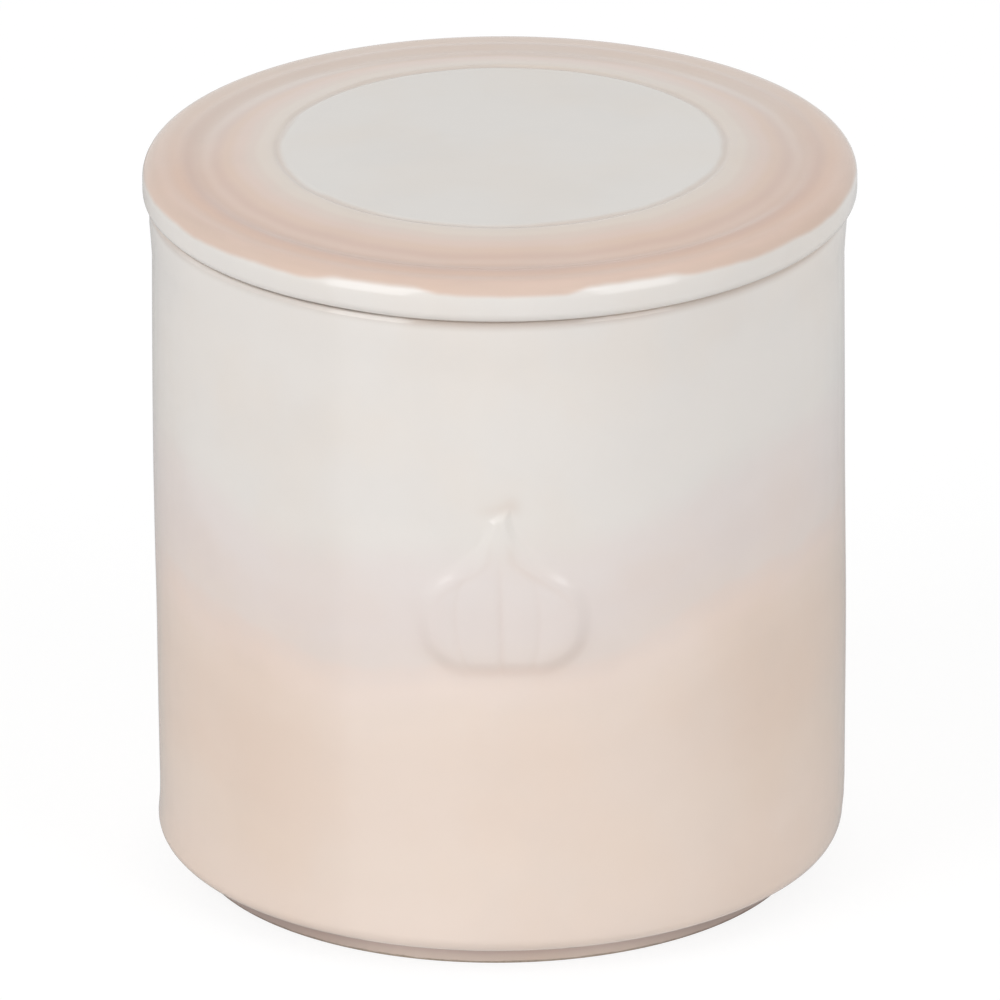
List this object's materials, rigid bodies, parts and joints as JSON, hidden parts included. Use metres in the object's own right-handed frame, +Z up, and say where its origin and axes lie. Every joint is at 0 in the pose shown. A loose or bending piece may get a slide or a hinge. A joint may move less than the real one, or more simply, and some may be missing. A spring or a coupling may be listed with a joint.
{
  "type": "garlic keeper",
  "caption": "Round glazed stoneware keeper with a raised garlic bulb, vent holes at the back, a foot ring, and a flat overhanging lid whose plug carries a soft ring.",
  "frame": {"origin": "where the jar's axis meets the surface that the foot ring stands on", "axes": "+Z up along the axis, the raised bulb faces -Y, and the vent holes are at the back in +Y"},
  "size_m": [0.12, 0.12, 0.127],
  "materials": {
    "jar_glaze": "gloss glaze, white at the top melting into pale peach below the middle, bare clay under the foot",
    "lid_glaze": "gloss glaze, pale disc inside peach rings, with a white rounded edge",
    "seal_silicone": "satin translucent white silicone"
  },
  "bodies": {
    "jar": {"jar": "jar_glaze"},
    "seal": {"seal_ring": "seal_silicone"},
    "lid": {"lid": "lid_glaze"}
  },
  "joints": [
    {"name": "lid_lift", "type": "slide", "parent": "jar", "child": "seal", "axis": [0, 0, 1], "range_m": [0, 0.08]},
    {"name": "lid_turn", "type": "hinge", "parent": "seal", "child": "lid", "pos_m": [0, 0, 0.1183], "axis": [0, 0, 1], "continuous": true}
  ]
}
